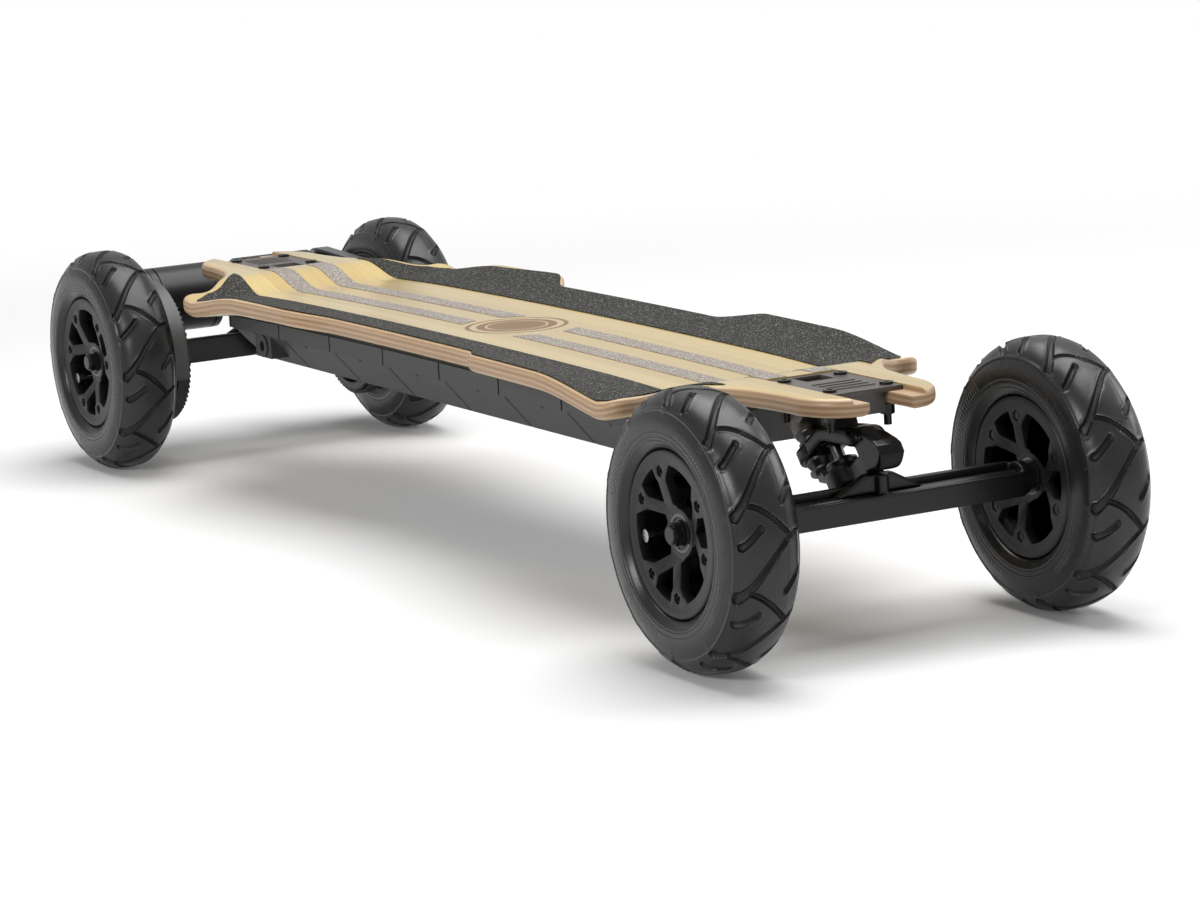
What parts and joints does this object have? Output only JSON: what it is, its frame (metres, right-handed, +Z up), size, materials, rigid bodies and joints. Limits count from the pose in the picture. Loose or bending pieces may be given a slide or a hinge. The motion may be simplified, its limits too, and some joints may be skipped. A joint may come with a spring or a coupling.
{
  "type": "electric mountainboard",
  "caption": "Off-road electric skateboard: bent wooden deck on sprung kingpin trucks with air tyres, belt-driven rear wheels and a battery case under the deck.",
  "frame": {"origin": "on the ground, midway between the axles and between the left and right wheels", "axes": "+X towards the nose, +Y to the left of the nose, +Z up"},
  "size_m": [1.115, 0.304, 0.175],
  "materials": {
    "deck_wood": "satin lacquer over bamboo faces",
    "grip": "coarse abrasive sheet",
    "grit": "fine abrasive stripe",
    "case_plastic": "satin moulded",
    "seal_rubber": "matt",
    "plain_steel": "zinc plated",
    "black_steel": "black oxide",
    "cell_wrap": "green film over metal cans",
    "circuit_board": "solder mask",
    "dark_alloy": "black coating, satin",
    "motor_alloy": "dark anodised",
    "rotor_steel": "turned",
    "socket_plastic": "moulded",
    "button_plastic": "moulded",
    "belt_rubber": "matt",
    "guard_plastic": "satin moulded",
    "pulley_plastic": "moulded",
    "kingpin_steel": "dark zinc",
    "bushing_rubber": "cast, matt",
    "tyre_rubber": "satin",
    "tube_rubber": "matt",
    "rim_plastic": "satin moulded"
  },
  "bodies": {
    "board": {"deck": "deck_wood", "grip_tape": "grip", "grit_stripes": "grit", "case_tray": "case_plastic", "case_gasket": "seal_rubber", "case_screws": "plain_steel", "battery_cells": "cell_wrap", "battery_monitor": "circuit_board", "motor_controller": "dark_alloy", "charge_port": "socket_plastic", "truck_bolts": "plain_steel", "front_baseplate": "dark_alloy", "front_deck_kingpin": "kingpin_steel", "front_deck_bushings": "bushing_rubber", "rear_baseplate": "dark_alloy", "rear_deck_kingpin": "kingpin_steel", "rear_deck_bushings": "bushing_rubber"},
    "button": {"power_button": "button_plastic"},
    "front_link_body": {"front_link": "dark_alloy", "front_axle_kingpin": "kingpin_steel"},
    "front_hanger_body": {"front_hanger": "dark_alloy", "front_axle_bushings": "bushing_rubber", "front_axle": "plain_steel"},
    "front_left_wheel": {"front_left_tyre": "tyre_rubber", "front_left_tube": "tube_rubber", "front_left_outer_rim": "rim_plastic", "front_left_inner_rim": "rim_plastic", "front_left_bearings": "plain_steel", "front_left_rim_bolts": "black_steel"},
    "front_right_wheel": {"front_right_tyre": "tyre_rubber", "front_right_tube": "tube_rubber", "front_right_outer_rim": "rim_plastic", "front_right_inner_rim": "rim_plastic", "front_right_bearings": "plain_steel", "front_right_rim_bolts": "black_steel"},
    "rear_link_body": {"rear_link": "dark_alloy", "rear_axle_kingpin": "kingpin_steel"},
    "rear_hanger_body": {"rear_hanger": "dark_alloy", "rear_axle_bushings": "bushing_rubber", "rear_axle": "plain_steel", "motor_mounts": "dark_alloy", "motor_housings": "motor_alloy", "drive_belts": "belt_rubber", "belt_guards": "guard_plastic"},
    "rear_left_wheel": {"rear_left_tyre": "tyre_rubber", "rear_left_tube": "tube_rubber", "rear_left_outer_rim": "rim_plastic", "rear_left_inner_rim": "rim_plastic", "rear_left_bearings": "plain_steel", "rear_left_rim_bolts": "black_steel", "left_wheel_pulley": "pulley_plastic"},
    "rear_right_wheel": {"rear_right_tyre": "tyre_rubber", "rear_right_tube": "tube_rubber", "rear_right_outer_rim": "rim_plastic", "rear_right_inner_rim": "rim_plastic", "rear_right_bearings": "plain_steel", "rear_right_rim_bolts": "black_steel", "right_wheel_pulley": "pulley_plastic"},
    "left_rotor": {"left_motor_rotor": "rotor_steel"},
    "right_rotor": {"right_motor_rotor": "rotor_steel"}
  },
  "joints": [
    {"name": "button_press", "type": "slide", "parent": "board", "child": "button", "axis": [1, 0, 0], "range_m": [0, 0.0015], "stiffness_N_per_m": 600, "springref_m": -0.001},
    {"name": "front_link_tilt", "type": "hinge", "parent": "board", "child": "front_link_body", "pos_m": [0.402, 0, 0.1095], "axis": [0.809, 0, 0.5878], "range_deg": [-9, 9], "stiffness_Nm_per_rad": 60, "deforming": ["front_deck_bushings"]},
    {"name": "front_hanger_tilt", "type": "hinge", "parent": "front_link_body", "child": "front_hanger_body", "pos_m": [0.43698, 0, 0.09487], "axis": [0.809, 0, 0.5878], "range_deg": [-9, 9], "stiffness_Nm_per_rad": 60, "deforming": ["front_axle_bushings"]},
    {"name": "front_left_spin", "type": "hinge", "parent": "front_hanger_body", "child": "front_left_wheel", "pos_m": [0.47, 0.127, 0.0875], "axis": [0, 1, 0], "continuous": true},
    {"name": "front_right_spin", "type": "hinge", "parent": "front_hanger_body", "child": "front_right_wheel", "pos_m": [0.47, -0.127, 0.0875], "axis": [0, 1, 0], "continuous": true},
    {"name": "rear_link_tilt", "type": "hinge", "parent": "board", "child": "rear_link_body", "pos_m": [-0.402, 0, 0.1095], "axis": [-0.809, 0, 0.5878], "range_deg": [-9, 9], "stiffness_Nm_per_rad": 60, "deforming": ["rear_deck_bushings"]},
    {"name": "rear_hanger_tilt", "type": "hinge", "parent": "rear_link_body", "child": "rear_hanger_body", "pos_m": [-0.43698, 0, 0.09487], "axis": [-0.809, 0, 0.5878], "range_deg": [-9, 9], "stiffness_Nm_per_rad": 60, "deforming": ["rear_axle_bushings"]},
    {"name": "rear_left_spin", "type": "hinge", "parent": "rear_hanger_body", "child": "rear_left_wheel", "pos_m": [-0.47, 0.127, 0.0875], "axis": [0, 1, 0], "continuous": true},
    {"name": "rear_right_spin", "type": "hinge", "parent": "rear_hanger_body", "child": "rear_right_wheel", "pos_m": [-0.47, -0.127, 0.0875], "axis": [0, 1, 0], "continuous": true},
    {"name": "left_rotor_spin", "type": "hinge", "parent": "rear_hanger_body", "child": "left_rotor", "pos_m": [-0.53, 0.08, 0.1215], "axis": [0, 1, 0], "continuous": true},
    {"name": "right_rotor_spin", "type": "hinge", "parent": "rear_hanger_body", "child": "right_rotor", "pos_m": [-0.53, -0.08, 0.1215], "axis": [0, 1, 0], "continuous": true}
  ],
  "couplings": [
    {"joint": "left_rotor_spin", "follows": "rear_left_spin", "ratio": 4.4},
    {"joint": "right_rotor_spin", "follows": "rear_right_spin", "ratio": 4.4}
  ]
}
